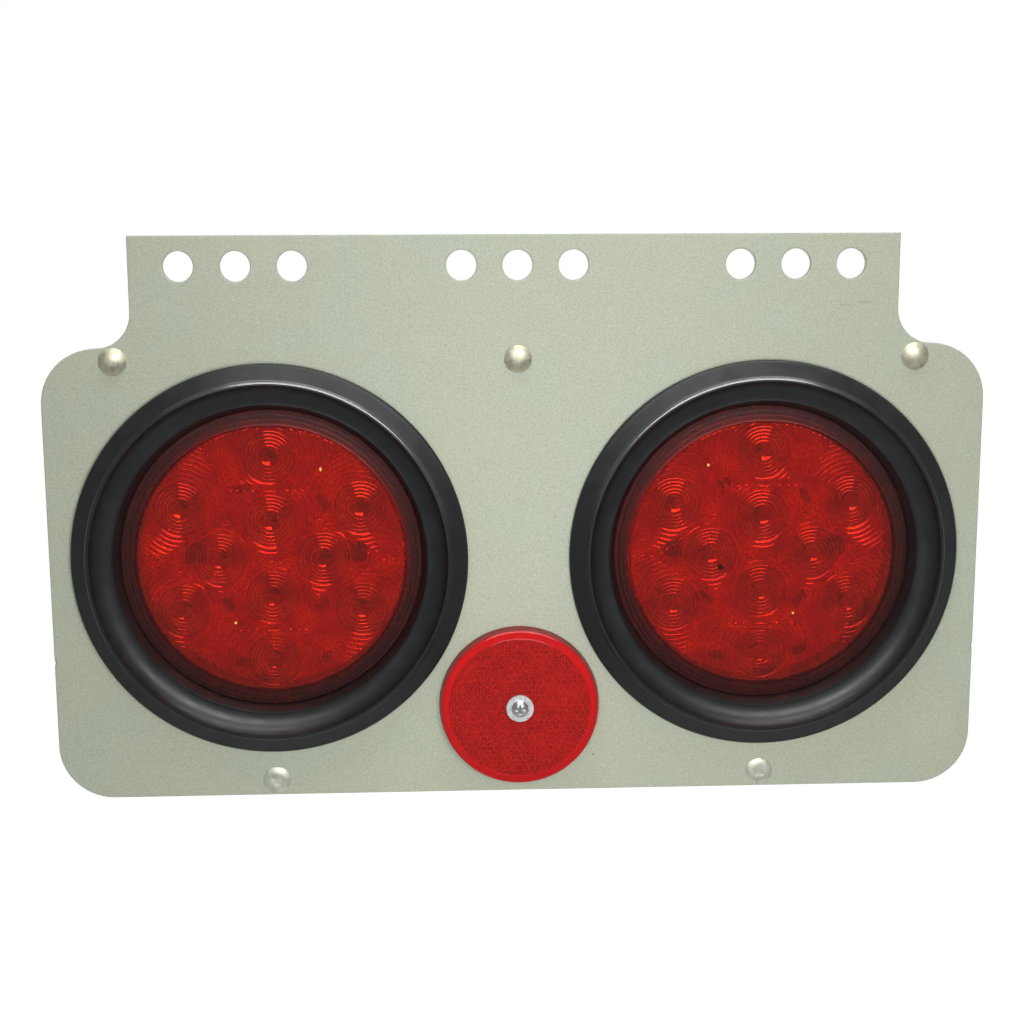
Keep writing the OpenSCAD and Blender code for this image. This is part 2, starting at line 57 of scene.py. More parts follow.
# %% [markdown]
# ## Where things are
# Every shape below is drawn in millimetres as it is seen from the front: right, up, and
# level, which is the distance in front of the plate. The plate's face and the middles of the
# lamps and of the reflector are measured on the CAD nodes, so the pieces land on their seats.

# %% Measure the frame
FRONT_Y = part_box("mounting_plate")[0].y


def middle(node_name):
    """Middle of a node's box in the front view, in millimetres: (right, up)."""
    low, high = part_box(node_name)
    return np.array([low.x + high.x, low.z + high.z]) / 2 / MM


LAMPS = {side: middle("grommet_" + side) for side in ("left", "right")}
REFLECTOR = middle("reflector_lens")
print("lamps at", LAMPS, "and the reflector at", REFLECTOR)

# %% [markdown]
# ## Surfaces from arrays
# A shape is a grid of points that numpy works out at once. Rows and columns of the grid are
# joined by quads, the doubled points at seams and poles are merged, and the normals are
# turned outwards. A section can be carried round an axis or along a path.


# %% Grids and pieces
def grid_faces(rows, columns, wrap_rows=False, wrap_columns=False):
    """Quads between the neighbours of a grid that is stored row by row."""
    index = np.arange(rows * columns).reshape(rows, columns)
    if wrap_rows:
        index = np.vstack([index, index[:1]])
    if wrap_columns:
        index = np.hstack([index, index[:, :1]])
    corners = [index[:-1, :-1], index[1:, :-1], index[1:, 1:], index[:-1, 1:]]
    return np.stack(corners, axis=-1).reshape(-1, 4)


def join(*parts):
    """One array of points and one list of faces from several (points, faces) pairs."""
    points, faces, count = [], [], 0
    for some_points, some_faces in parts:
        points.append(some_points)
        faces.extend((np.asarray(some_faces) + count).tolist())
        count += len(some_points)
    return np.vstack(points), faces


def put_in_place(points, centre):
    """Front view to the part's frame, in metres: X is right, Z is up and level is minus Y."""
    right, up, level = np.asarray(points, float).T
    return np.stack([(right + centre[0]) * MM, FRONT_Y - level * MM, (up + centre[1]) * MM], -1)


MERGE, TINY_EDGE = 0.002, 0.001


def make_piece(name, shape, centre, replaced, sharp=35.0, flat_from=None):
    """A mesh piece from (points, faces), which rides on the part and stands for a node."""
    points, faces = shape
    mesh = bpy.data.meshes.new(name)
    mesh.from_pydata(put_in_place(points, centre).tolist(), [], [list(f) for f in faces])
    mesh.shade_smooth()
    if flat_from is not None:
        smooth = np.arange(len(mesh.polygons)) < flat_from
        mesh.polygons.foreach_set("use_smooth", smooth)
    grid = bmesh.new()
    grid.from_mesh(mesh)
    bmesh.ops.remove_doubles(grid, verts=grid.verts, dist=MERGE * MM)
    bmesh.ops.dissolve_degenerate(grid, edges=grid.edges, dist=TINY_EDGE * MM)
    bmesh.ops.recalc_face_normals(grid, faces=grid.faces)
    open_edges = sum(len(edge.link_faces) != 2 for edge in grid.edges)
    smooth = [face.smooth for face in grid.faces]
    grid.to_mesh(mesh)
    grid.free()
    mesh.set_sharp_from_angle(angle=math.radians(sharp))
    mesh.polygons.foreach_set("use_smooth", smooth)
    piece = bpy.data.objects.new(name, mesh)
    bpy.context.scene.collection.objects.link(piece)
    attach(piece, "root")
    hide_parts(*replaced)
    print(name, "has", len(mesh.polygons), "faces and", open_edges, "open edges")
    return piece


# %% Sections
def unit(vector):
    """The vector at length one."""
    return vector / np.linalg.norm(vector)


def arc(centre, radius, start, end, steps):
    """Points of an arc: centre + radius (cos angle, sin angle), with the angles in degrees."""
    angle = np.radians(np.linspace(start, end, steps + 1))
    return np.array(centre) + radius * np.stack([np.cos(angle), np.sin(angle)], -1)


GUARD = 0.05


def rounded(corners, steps=5):
    """A section with rounded corners, each given as (radius, level, rounding): an arc that
    touches both sides at rounding / tan(half angle) from the corner. A guard point just
    outside each end of the arc keeps the flats beside it flat in their shading."""
    corners = [np.array(c, float) for c in corners]
    section = []
    for i, here in enumerate(corners):
        point, size = here[:2], here[2] if len(here) > 2 else 0
        if not size:
            section.append(point)
            continue
        back = unit(corners[i - 1][:2] - point)
        ahead = unit(corners[(i + 1) % len(corners)][:2] - point)
        half = math.acos(np.clip(back @ ahead, -1, 1)) / 2
        middle_point = point + unit(back + ahead) * size / math.sin(half)
        first = point + back * size / math.tan(half) - middle_point
        last = point + ahead * size / math.tan(half) - middle_point
        share = np.linspace(0, 1, steps + 1)[:, None]
        spread = math.pi - 2 * half
        sweep = (np.sin((1 - share) * spread) * first + np.sin(share * spread) * last)
        reach = size / math.tan(half) + GUARD
        section.append(point + back * reach)
        section.extend(middle_point + sweep / math.sin(spread))
        section.append(point + ahead * reach)
    return np.array(section)


def revolve(section, turns, closed=False):
    """Surface of revolution: (r cos angle, r sin angle, level) for each (r, level)."""
    angle = np.arange(turns) * 2 * math.pi / turns
    r, level = np.asarray(section).T
    points = np.stack([np.outer(np.cos(angle), r), np.outer(np.sin(angle), r),
                       np.tile(level, (turns, 1))], -1)
    return points.reshape(-1, 3), grid_faces(turns, len(r), True, closed)


# %% [markdown]
# ## Finishes from nodes
# Each finish is a Principled shader whose colour, roughness and bump come from noise at the
# real scale of the detail. All of it reads Object coordinates in metres, so a noise scale of
# 1000 has details about a millimetre across. Constants stay on the shader's own sockets.


# %% Node helpers
def new_finish(name, **sockets):
    """A material with a Principled shader whose sockets are set by name."""
    finish = bpy.data.materials.new(name)
    finish.use_nodes = True
    shader = finish.node_tree.nodes["Principled BSDF"]
    for key, value in sockets.items():
        shader.inputs[key.replace("_", " ")].default_value = value
    return finish, finish.node_tree, shader


def add(tree, kind, inputs=None, output=0, **settings):
    """Adds a shader node and gives one of its outputs; inputs take values or outputs."""
    made = tree.nodes.new("ShaderNode" + kind)
    for key, value in settings.items():
        setattr(made, key, value)
    for key, value in (inputs or {}).items():
        if isinstance(value, bpy.types.NodeSocket):
            tree.links.new(value, made.inputs[key])
        else:
            made.inputs[key].default_value = value
    return made.outputs[output]


def place_of(tree):
    """Object coordinates, in metres."""
    return add(tree, "TexCoord", output="Object")


def along(tree, axis):
    """One of the Object coordinates, in metres, by its axis."""
    return add(tree, "SeparateXYZ", {"Vector": place_of(tree)}, axis)


def noise(tree, scale, detail=2.0, roughness=0.5):
    """Noise between 0 and 1."""
    return add(tree, "TexNoise", {"Vector": place_of(tree), "Scale": scale,
                                  "Detail": detail, "Roughness": roughness})


def levels(tree, value, low, high, to_low=0.0, to_high=1.0):
    """Stretches low to high into to_low to to_high and stops there."""
    return add(tree, "MapRange", {"Value": value, "From Min": low, "From Max": high,
                                  "To Min": to_low, "To Max": to_high})


def blend(tree, share, first, second):
    """Colour between two colours, by a share from 0 to 1."""
    return add(tree, "Mix", {0: share, 6: first, 7: second}, 2, data_type="RGBA")


def combine(tree, operation, first, second):
    """Arithmetic on two values."""
    return add(tree, "Math", {0: first, 1: second}, operation=operation)


def spot(tree, centre, size, rim=0.6, ragged=0.0):
    """1 in a mark at centre = (right, up) of half sizes size = (right, up) in millimetres,
    fading to 0 at its rim: the length of the place from the centre over the half sizes."""
    stretched = add(tree, "Mapping", {
        "Vector": place_of(tree),
        "Location": (-centre[0] / size[0], 0, -centre[1] / size[1]),
        "Scale": (1 / size[0] / MM, 0, 1 / size[1] / MM)})
    away = add(tree, "VectorMath", {0: stretched}, "Value", operation="LENGTH")
    if ragged:
        rough = levels(tree, noise(tree, 900, 3), 0.3, 0.7, -ragged, ragged)
        away = combine(tree, "ADD", away, rough)
    return levels(tree, away, rim, 1.0, 1.0, 0.0)


def largest(tree, values):
    """The largest of several values."""
    result, *others = values
    for value in others:
        result = combine(tree, "MAXIMUM", result, value)
    return result


def in_lamps(tree, radius, rim):
    """1 within a radius in millimetres of the middle of either lamp, fading at its rim."""
    return largest(tree, [spot(tree, centre, (radius, radius), rim)
                          for centre in LAMPS.values()])


def bump(tree, shader, height, distance):
    """Bump of the given depth in millimetres on the shader's normal."""
    normal = add(tree, "Bump", {"Height": height, "Distance": distance * MM, "Strength": 1.0})
    tree.links.new(normal, shader.inputs["Normal"])


def colour(tree, shader, value):
    """Links a colour to the shader's base."""
    tree.links.new(value, shader.inputs["Base Color"])


def dress(piece, *finishes):
    """Gives a piece its materials, in the order of its slots."""
    slots = piece.data.materials
    for index, finish in enumerate(finishes):
        if index < len(slots):
            slots[index] = finish
        else:
            slots.append(finish)


# %% [markdown]
# ## The painted plate
# The plate is 3 mm steel, cut and sprayed a pale grey green. The paint pulls back from the
# edges, which rounds them, and dries with a fine grain. The plate could be the CAD solid with
# a bevel, but long thin triangles spoil a bevel, so a section with rounded edges is carried
# along the outline and round each hole instead, and the two flat faces are filled between.

# %% The plate's outline
PLATE_HALF, NECK_HALF = 162.0, 131.0
TOP, SHOULDER, FOOT = 10.3, -27.3, -185.7
CORNER_R, HOLLOW_R = 19.0, 12.0
PLATE_T, BACKING_T, BACKING_INSET = 3.0, 1.5, 1.0
PLATE_EDGE_R, BACKING_EDGE_R = 0.45, 0.2
BOLT_R, BOLT_PITCH, GROUP_PITCH = 5.15, 19.05, 95.25
RIVETS = {"top_left": (-137.3, -31.7), "top_centre": (0.0, -31.7), "top_right": (137.3, -31.7),
          "bottom_left": (-86.0, -180.1), "bottom_right": (86.0, -180.1)}
PANEL_HOLE_R, SHANK_HOLE_R, SCREW_HOLE_R = 57.15, 2.48, 1.83


def closed_path(*stretches, step=3.0):
    """A closed path of arcs and points, with straight runs cut into steps."""
    corners = np.vstack([np.atleast_2d(s) for s in stretches])
    path = []
    for here, there in zip(corners, np.roll(corners, -1, 0)):
        parts = max(1, round(np.linalg.norm(there - here) / step))
        path.extend(here + (there - here) * np.arange(parts)[:, None] / parts)
    return np.array(path)


def hole(centre, radius, steps):
    """A circle walked clockwise, so that the path's right side is the hole."""
    return arc(centre, radius, 360, 0, steps)[:-1]


def body_right(inset):
    """Lower body's right side: bottom corner, then the shoulder's corner."""
    edge, r = PLATE_HALF - inset, CORNER_R - inset
    return np.vstack([arc((edge - r, FOOT + inset + r), r, -90, 0, 14),
                      arc((edge - r, SHOULDER - inset - r), r, 0, 90, 14)])


def mirrored(points):
    """The same points on the left, in reverse order."""
    return points[::-1] * [-1, 1]


hollow = arc((NECK_HALF + HOLLOW_R, SHOULDER + HOLLOW_R), HOLLOW_R, 270, 180, 10)
neck = np.vstack([hollow, [[NECK_HALF, TOP]]])
right_side = np.vstack([body_right(0), neck])
PLATE_PATH = closed_path(right_side, mirrored(right_side))
backing_side = body_right(BACKING_INSET)
BACKING_PATH = closed_path(backing_side, mirrored(backing_side))
print("the plate's outline has", len(PLATE_PATH), "points")


# %% Carry the edge along the paths
def outward(path):
    """Normals on the right of a closed path, lengthened at corners so that a shift along
    them keeps both sides at the same distance: (n1 + n2) / (1 + n1 . n2)."""
    run = np.roll(path, -1, 0) - path
    run /= np.linalg.norm(run, axis=1)[:, None]
    after = np.stack([run[:, 1], -run[:, 0]], -1)
    before = np.roll(after, 1, 0)
    return (before + after) / (1 + np.sum(before * after, 1))[:, None]


def sheet_metal(paths, low, high, edge, steps=5):
    """A flat plate between two levels. The section inset = edge (1 - sin a), level = high -
    edge (1 - cos a) rounds each edge and follows each path; flat faces close front and back."""
    a = np.linspace(0, math.pi / 2, steps + 1)
    inset = np.concatenate([edge * (1 - np.sin(a)), edge * (1 - np.sin(a[::-1]))])
    level = np.concatenate([high - edge * (1 - np.cos(a)), low + edge * (1 - np.cos(a[::-1]))])
    sides, starts, count = [], [], 0
    for path in paths:
        flat = path[:, None, :] - outward(path)[:, None, :] * inset[:, None]
        points = np.dstack([flat, np.tile(level, (len(path), 1))]).reshape(-1, 3)
        sides.append((points, grid_faces(len(path), len(inset), True)))
        starts.append(count + np.arange(len(path)) * len(inset))
        count += len(points)
    points, faces = join(*sides)
    front = np.concatenate(starts)
    loops = [[Vector(points[i]) for i in start] for start in starts]
    fill = np.array(tessellate_polygon(loops))
    caps = np.vstack([front[fill], front[fill] + len(inset) - 1])
    return points, faces + caps.tolist(), len(faces)


bolt_holes = [hole((group * GROUP_PITCH + place * BOLT_PITCH, 0), BOLT_R, 48)
              for group in (-1, 0, 1) for place in (-1, 0, 1)]
lamp_holes = [hole(centre, PANEL_HOLE_R, 160) for centre in LAMPS.values()]
small_holes = [hole(centre, SHANK_HOLE_R, 24) for centre in RIVETS.values()]
small_holes.append(hole(REFLECTOR, SCREW_HOLE_R, 24))

# %% Nicks in the side edges
NICKS = {"left": (-161.9, -136.2), "right": (161.9, -134.9)}
NICK_DEPTH, NICK_HALF, NICK_REACH, NICK_STEP = 0.35, 0.9, 3.0, 0.3


def nicked(path):
    """Dents the path at each nick by depth exp(-(distance / half width) squared)."""
    dented = path.copy()
    for nick in NICKS.values():
        away = np.linalg.norm(path - np.array(nick), axis=1) / NICK_HALF
        dented[:, 0] -= np.sign(nick[0]) * NICK_DEPTH * np.exp(-away ** 2)
    return dented


def finer_at_nicks(path):
    """Replaces the side's points near each nick by closer ones, a nick's step apart."""
    extra = []
    for nick in NICKS.values():
        rise = np.arange(-NICK_REACH, NICK_REACH + 0.01, NICK_STEP)
        side = np.full(len(rise), np.sign(nick[0]) * PLATE_HALF)
        extra.append(np.stack([side, nick[1] + rise], -1))
    for points in extra:
        on_side = np.sign(points[0, 0]) * path[:, 0] > PLATE_HALF - 0.01
        near = on_side & (np.abs(path[:, 1] - points[:, 1].mean()) < NICK_REACH + 0.2)
        keep = path[~near]
        nearest = np.argmax(near)
        ordered = points if points[0, 0] > 0 else points[::-1]
        path = np.insert(keep, nearest, ordered, axis=0)
    return path


plate_edge = nicked(finer_at_nicks(PLATE_PATH))
*plate_shape, plate_sides = sheet_metal(
    [plate_edge, *bolt_holes, *lamp_holes, *small_holes], -PLATE_T, 0, PLATE_EDGE_R)
painted_plate = make_piece("painted_plate", plate_shape, (0, 0), ["mounting_plate"],
                           flat_from=plate_sides)

# %% [markdown]
# The paint is one colour to the eye, yet up close it is mottled: pigment grain of half a
# millimetre, soft clouds of a few centimetres and an orange peel that breaks up the gloss.
# A scuff, two specks and the bare nicks lie where they are on the real plate.

# %% Plate paint
PAINT, PAINT_WARM = (0.46, 0.505, 0.40, 1), (0.50, 0.51, 0.365, 1)
PAINT_DARK, PAINT_LIGHT = (0.335, 0.37, 0.27, 1), (0.61, 0.645, 0.53, 1)
SPECK, SCUFF, BARE = (0.10, 0.10, 0.09, 1), (0.36, 0.36, 0.22, 1), (0.09, 0.10, 0.12, 1)
SPECKS = [(-24.9, -26.8), (26.4, -172.8)]
SPECK_SIZE, NICK_SIZE = (0.42, 0.42), (0.7, 1.1)
SCUFF_AT = [((119.5, -13.2), (4.6, 0.55)), ((111.5, -14.0), (3.4, 0.45))]

paint, tree, shader = new_finish("plate_paint", Roughness=0.42)
grain = noise(tree, 2600, 3, 0.65)
clouds = noise(tree, 28, 4, 0.6)
tone = blend(tree, levels(tree, grain, 0.36, 0.64), PAINT_DARK, PAINT_LIGHT)
cloud = blend(tree, levels(tree, clouds, 0.40, 0.60), PAINT, PAINT_WARM)
tone = blend(tree, 0.35, tone, cloud)
for place, size in SCUFF_AT:
    tone = blend(tree, combine(tree, "MULTIPLY", spot(tree, place, size, 0.3, 0.5), 0.6),
                 tone, SCUFF)
for place in SPECKS:
    tone = blend(tree, spot(tree, place, SPECK_SIZE, 0.5, 0.3), tone, SPECK)
for nick in NICKS.values():
    tone = blend(tree, spot(tree, nick, NICK_SIZE, 0.5, 0.3), tone, BARE)
colour(tree, shader, tone)
tree.links.new(levels(tree, noise(tree, 400, 3), 0.3, 0.7, 0.38, 0.5),
               shader.inputs["Roughness"])
bump(tree, shader, combine(tree, "ADD", noise(tree, 700, 2), grain), 0.03)
dress(painted_plate, paint)
print("the paint has", len(tree.nodes), "nodes")

# %% [markdown]
# ## The backing plate
# Five rivets hold a thinner galvanised plate flat against the back. Zinc grows in spangles,
# flat crystals a few millimetres across that each reflect a little differently, so a Voronoi
# pattern varies the roughness and the grey from crystal to crystal.

# %% Backing plate and its zinc
BEAD_CLEAR_R = 62.7
backing_lamp_holes = [hole(centre, BEAD_CLEAR_R, 120) for centre in LAMPS.values()]
*backing_shape, backing_sides = sheet_metal(
    [BACKING_PATH, *backing_lamp_holes, *small_holes], -PLATE_T - BACKING_T, -PLATE_T,
    BACKING_EDGE_R, 3)
backing = make_piece("zinc_backing_plate", backing_shape, (0, 0), ["backing_plate"],
                     flat_from=backing_sides)


def zinc(name, spangle, grey, roughness, dullest=0.78, metal=1.0):
    """Zinc with crystals of a size in millimetres, each with its own grey and roughness."""
    finish, tree, shader = new_finish(name, Metallic=metal)
    crystal = add(tree, "TexVoronoi", {"Vector": place_of(tree), "Scale": 1 / spangle / MM},
                  "Color")
    own = add(tree, "SeparateColor", {"Color": crystal}, "Red")
    dull = blend(tree, own, [dullest * g for g in grey] + [1], list(grey) + [1])
    stain = levels(tree, noise(tree, 60, 5, 0.65), 0.45, 0.75, 0.0, 1.6 * (1 - dullest))
    colour(tree, shader, blend(tree, stain, dull, [0.5 * g for g in grey] + [1]))
    tree.links.new(levels(tree, own, 0, 1, roughness - 0.08, roughness + 0.08),
                   shader.inputs["Roughness"])
    bump(tree, shader, noise(tree, 1500, 3), 0.01)
    return finish


dress(backing, zinc("galvanised_steel", 4.0, (0.66, 0.68, 0.69), 0.42))
plating = zinc("zinc_plating", 0.6, (0.80, 0.82, 0.85), 0.26)
for node_name in ("reflector_rear_washer", "reflector_nut", "reflector_screw"):
    dress(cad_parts[node_name], plating)
dress(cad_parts["reflector_washer"],
      zinc("bright_plating", 1.5, (0.74, 0.77, 0.79), 0.3, 0.95, 0.45))
print("zinc on the backing plate, the washers, the nut and the screw")

# %% [markdown]
# ## The rivets
# A rivet is a turned shape: a low dome in front, a shank through both plates, and a head that
# was set behind them with a hammer or a press. The two at the bottom were struck in the
# middle and the one at the top centre only a little, so dents are pressed into the revolved
# surface. The two at the top corners kept their shape.

# %% Rivet shapes
HEAD_R, HEAD_H, HEAD_RIM, SHANK_R = 4.75, 2.3, 0.45, 2.4
STRUCK_H, RIM_INSET = 1.9, 0.1
TAIL_R, TAIL_H, TAIL_BEVEL = 3.4, 2.0, 0.7
BACK_LEVEL = -PLATE_T - BACKING_T


def rivet_section(height):
    """Dome, rim, shank and set head from axis to axis. The dome is the arc through the rim
    whose height is h: its radius is (r r + h h) / 2 h."""
    rise = height - HEAD_RIM
    r = HEAD_R - RIM_INSET
    dome_r = (r * r + rise * rise) / (2 * rise)
    reach = math.degrees(math.asin(r / dome_r))
    dome = arc((0, height - dome_r), dome_r, 90, 90 - reach, 14)
    rim = rounded([(0, HEAD_RIM), (HEAD_R, HEAD_RIM, 0.15), (HEAD_R, 0, 0.12), (0, 0)], 3)[1:-1]
    tail = BACK_LEVEL - TAIL_H
    rest = rounded([(0, 0), (SHANK_R, 0), (SHANK_R, BACK_LEVEL), (TAIL_R, BACK_LEVEL, 0.2),
                    (TAIL_R, tail + TAIL_BEVEL, 0.2), (TAIL_R - TAIL_BEVEL, tail, 0.2),
                    (0, tail)], 3)[1:]
    return np.vstack([dome, rim, rest])


def dent(points, dents):
    """Lowers points in front by depth exp(-(distance / half width) squared) for each dent,
    given as (right, up, half width, depth)."""
    in_front = points[:, 2] > HEAD_RIM
    for right, up, width, depth in dents:
        away = np.hypot(points[:, 0] - right, points[:, 1] - up) / width
        points[:, 2] -= in_front * depth * np.exp(-away ** 2)
    return points


STRUCK = {"bottom_left": [(0.2, -0.3, 1.9, 0.9), (-1.3, 0.9, 0.8, 0.25), (1.4, 0.6, 0.7, 0.3)],
          "bottom_right": [(-0.2, 0.1, 2.0, 0.8), (1.2, -0.9, 0.8, 0.3), (-1.0, -1.2, 0.6, 0.2)],
          "top_centre": [(0.0, 0.2, 2.6, 0.25)], "top_left": [], "top_right": []}
rivets = []
for place, centre in RIVETS.items():
    low = place.startswith("bottom")
    points, faces = revolve(rivet_section(STRUCK_H if low else HEAD_H), 64)
    rivets.append(make_piece("rivet_" + place + "_metal", (dent(points, STRUCK[place]), faces),
                             centre, ["rivet_" + place]))

# %% [markdown]
# Plating on a rivet tarnishes in patches. Where it was struck it is rubbed bright, so the two
# lower rivets have a paler metal than the three above. One material serves all five, and
# the height on the plate says which metal shows.

# %% Rivet metal
STRUCK_BELOW, WORN_ABOVE = -150, -140
rivet_metal, tree, shader = new_finish("rivet_metal", Metallic=0.7)
tarnish = levels(tree, noise(tree, 260, 4, 0.6), 0.45, 0.75)
worn = blend(tree, tarnish, (0.64, 0.63, 0.47, 1), (0.34, 0.33, 0.26, 1))
struck = blend(tree, tarnish, (0.80, 0.83, 0.70, 1), (0.50, 0.52, 0.42, 1))
is_upper = levels(tree, along(tree, "Z"), STRUCK_BELOW * MM, WORN_ABOVE * MM)
colour(tree, shader, blend(tree, is_upper, struck, worn))
tree.links.new(levels(tree, noise(tree, 900, 3), 0.3, 0.7, 0.40, 0.56),
               shader.inputs["Roughness"])
bump(tree, shader, noise(tree, 900, 4, 0.6), 0.05)
for rivet in rivets:
    dress(rivet, rivet_metal)
print(len(rivets), "rivets in tarnished metal")

# %% [markdown]
# ## The rubber grommets
# The grommet is one moulded ring. Its flange rises from a round outer edge to a ridge and
# falls in a hollow slope to the lamp; behind, one groove takes the edge of the plate and an
# inner one the flange of the lamp. All of that is one section, revolved once.

# %% Grommet section
MOUTH, SLOPE_R, RIDGE_R, RIDGE_H = (54.4, 0.6), 7.3, 62.4, 6.0
FLANGE_R, GROOVE_R, BEAD_R, REAR_R, REAR_LEVEL = 68.4, 57.05, 60.7, 50.6, -14.5
LIP_R, LIP_LEVEL, SEAT_R, SEAT_LEVEL = 52.4, -4.6, 54.3, -9.7
slope_start = -math.degrees(math.asin((MOUTH[1] + SLOPE_R - RIDGE_H) / SLOPE_R))
slope = arc((MOUTH[0], MOUTH[1] + SLOPE_R), SLOPE_R, slope_start, -84, 22)
grommet_section = rounded([
    (REAR_R, REAR_LEVEL, 0.5), (GROOVE_R, REAR_LEVEL, 1.0), (BEAD_R, -5.0, 0.8),
    (BEAD_R, -PLATE_T, 0.4), (GROOVE_R, -PLATE_T, 0.3), (GROOVE_R, 0, 0.3),
    (FLANGE_R, 0, 0.7), (FLANGE_R, 1.9, 1.3), (67.1, 2.6, 0.8), (63.0, 5.1, 0.5),
    (RIDGE_R - 0.1, RIDGE_H, 0.8), *slope.tolist(),
    (54.75, 0.62, 0.06), (54.6, 0.80, 0.06), (54.3, 0.80, 0.06), (54.15, 0.45, 0.1),
    (LIP_R, -3.8, 0.2), (LIP_R, LIP_LEVEL, 0.1), (SEAT_R, LIP_LEVEL, 0.1),
    (SEAT_R, SEAT_LEVEL, 0.1), (REAR_R, SEAT_LEVEL, 0.2)], 4)
grommets = [make_piece("rubber_grommet_" + side, revolve(grommet_section, 240, True), centre,
                       ["grommet_" + side])
            for side, centre in LAMPS.items()]

# %% [markdown]
# Moulded rubber is nearly black, with clouds of dust and a pale crumb here and there. Its
# ridge shines at the inner top of each ring, as if rubbed smooth. A glossy coat there,
# between two circles round each lamp, gives that without a second material.

# %% Rubber
RIDGE_IN_R, RIDGE_OUT_R = 61.8, 63.6
RUBBED_ACROSS, RUBBED_UP = (98, 124), (-92, -58)
CRUMB_SCALE, RARE_CRUMBS = 240, (0.972, 0.974)
rubber, tree, shader = new_finish("grommet_rubber", Coat_IOR=2.2, Coat_Roughness=0.15)
dust = levels(tree, noise(tree, 90, 5, 0.7), 0.45, 0.8, 0.0, 0.5)
dark = blend(tree, dust, (0.010, 0.011, 0.012, 1), (0.024, 0.026, 0.027, 1))
crumb_place = {"Vector": place_of(tree), "Scale": CRUMB_SCALE}
crumbs = add(tree, "TexVoronoi", crumb_place, "Distance")
crumb_own = add(tree, "TexVoronoi", crumb_place, "Color")
rare = levels(tree, add(tree, "SeparateColor", {"Color": crumb_own}, "Red"), *RARE_CRUMBS)
fleck = combine(tree, "MULTIPLY", levels(tree, crumbs, 0.05, 0.09, 1.0, 0.0), rare)
colour(tree, shader, blend(tree, fleck, dark, (0.45, 0.45, 0.43, 1)))
matt = levels(tree, noise(tree, 160, 4), 0.35, 0.7, 0.34, 0.46)
ridge = combine(tree, "SUBTRACT", in_lamps(tree, RIDGE_OUT_R, 0.985),
                in_lamps(tree, RIDGE_IN_R, 0.985))
from_middle = combine(tree, "ABSOLUTE", along(tree, "X"), 0.0)
inner_side = levels(tree, from_middle, RUBBED_ACROSS[1] * MM, RUBBED_ACROSS[0] * MM)
upper_side = levels(tree, along(tree, "Z"), RUBBED_UP[0] * MM, RUBBED_UP[1] * MM)
rubbed = combine(tree, "MULTIPLY", ridge, combine(tree, "MULTIPLY", inner_side, upper_side))
tree.links.new(rubbed, shader.inputs["Coat Weight"])
tree.links.new(matt, shader.inputs["Roughness"])
bump(tree, shader, noise(tree, 1600, 3, 0.6), 0.02)
for grommet in grommets:
    dress(grommet, rubber)
print("rubber on", len(grommets), "grommets")

# %% [markdown]
# ## The lamp lens
# The lens is clear red plastic: a smooth face outside and, inside, one ring optic in front of
# each of the ten LEDs. An optic is a bull's eye, five fine rings on a raised disc whose teeth
# deepen outwards, and coarse rings whose teeth deepen inwards and fill the cell. Light from
# above flashes on the tops of the fine rings and on the feet of the coarse ones. A square
# grid would fray the rings, so each cell is a fan: rays run from the LED to points on the
# cell's edge, and the teeth follow along each ray. Neighbours share their edge points, which
# closes the lens.

# %% LED places and cells
LED_RING_R, LED_SIDE, LED_MID = 36.0, 18.0, 13.5
OPTIC_RIM_R, OPTIC_LEVEL, RIM_STEPS = 46.6, -3.1, 360
outer = np.radians(90 + 60 * np.arange(6))
LEDS = np.vstack([LED_RING_R * np.stack([np.cos(outer), np.sin(outer)], -1),
                  [[LED_SIDE, 0], [-LED_SIDE, 0], [0, LED_MID], [0, -LED_MID]]])


def clip(polygon, point, way):
    """The part of a convex polygon behind the line through a point, square to a way."""
    side = (polygon - point) @ way
    kept = []
    for i in range(len(polygon)):
        a, b, at_a, at_b = polygon[i - 1], polygon[i], side[i - 1], side[i]
        if at_a * at_b < -1e-12:
            kept.append(a + (b - a) * at_a / (at_a - at_b))
        if at_b <= 1e-9:
            kept.append(b)
    return np.array(kept)


def cell_edge(own):
    """Edge of one LED's cell: the rim circle, clipped halfway to every other LED, with its
    straight sides cut into steps of about 0.8 mm."""
    turn = np.arange(RIM_STEPS) * 2 * math.pi / RIM_STEPS
    edge = OPTIC_RIM_R * np.stack([np.cos(turn), np.sin(turn)], -1)
    for other in LEDS:
        if np.any(other != own):
            edge = clip(edge, (own + other) / 2, other - own)
    return closed_path(edge, step=0.82)


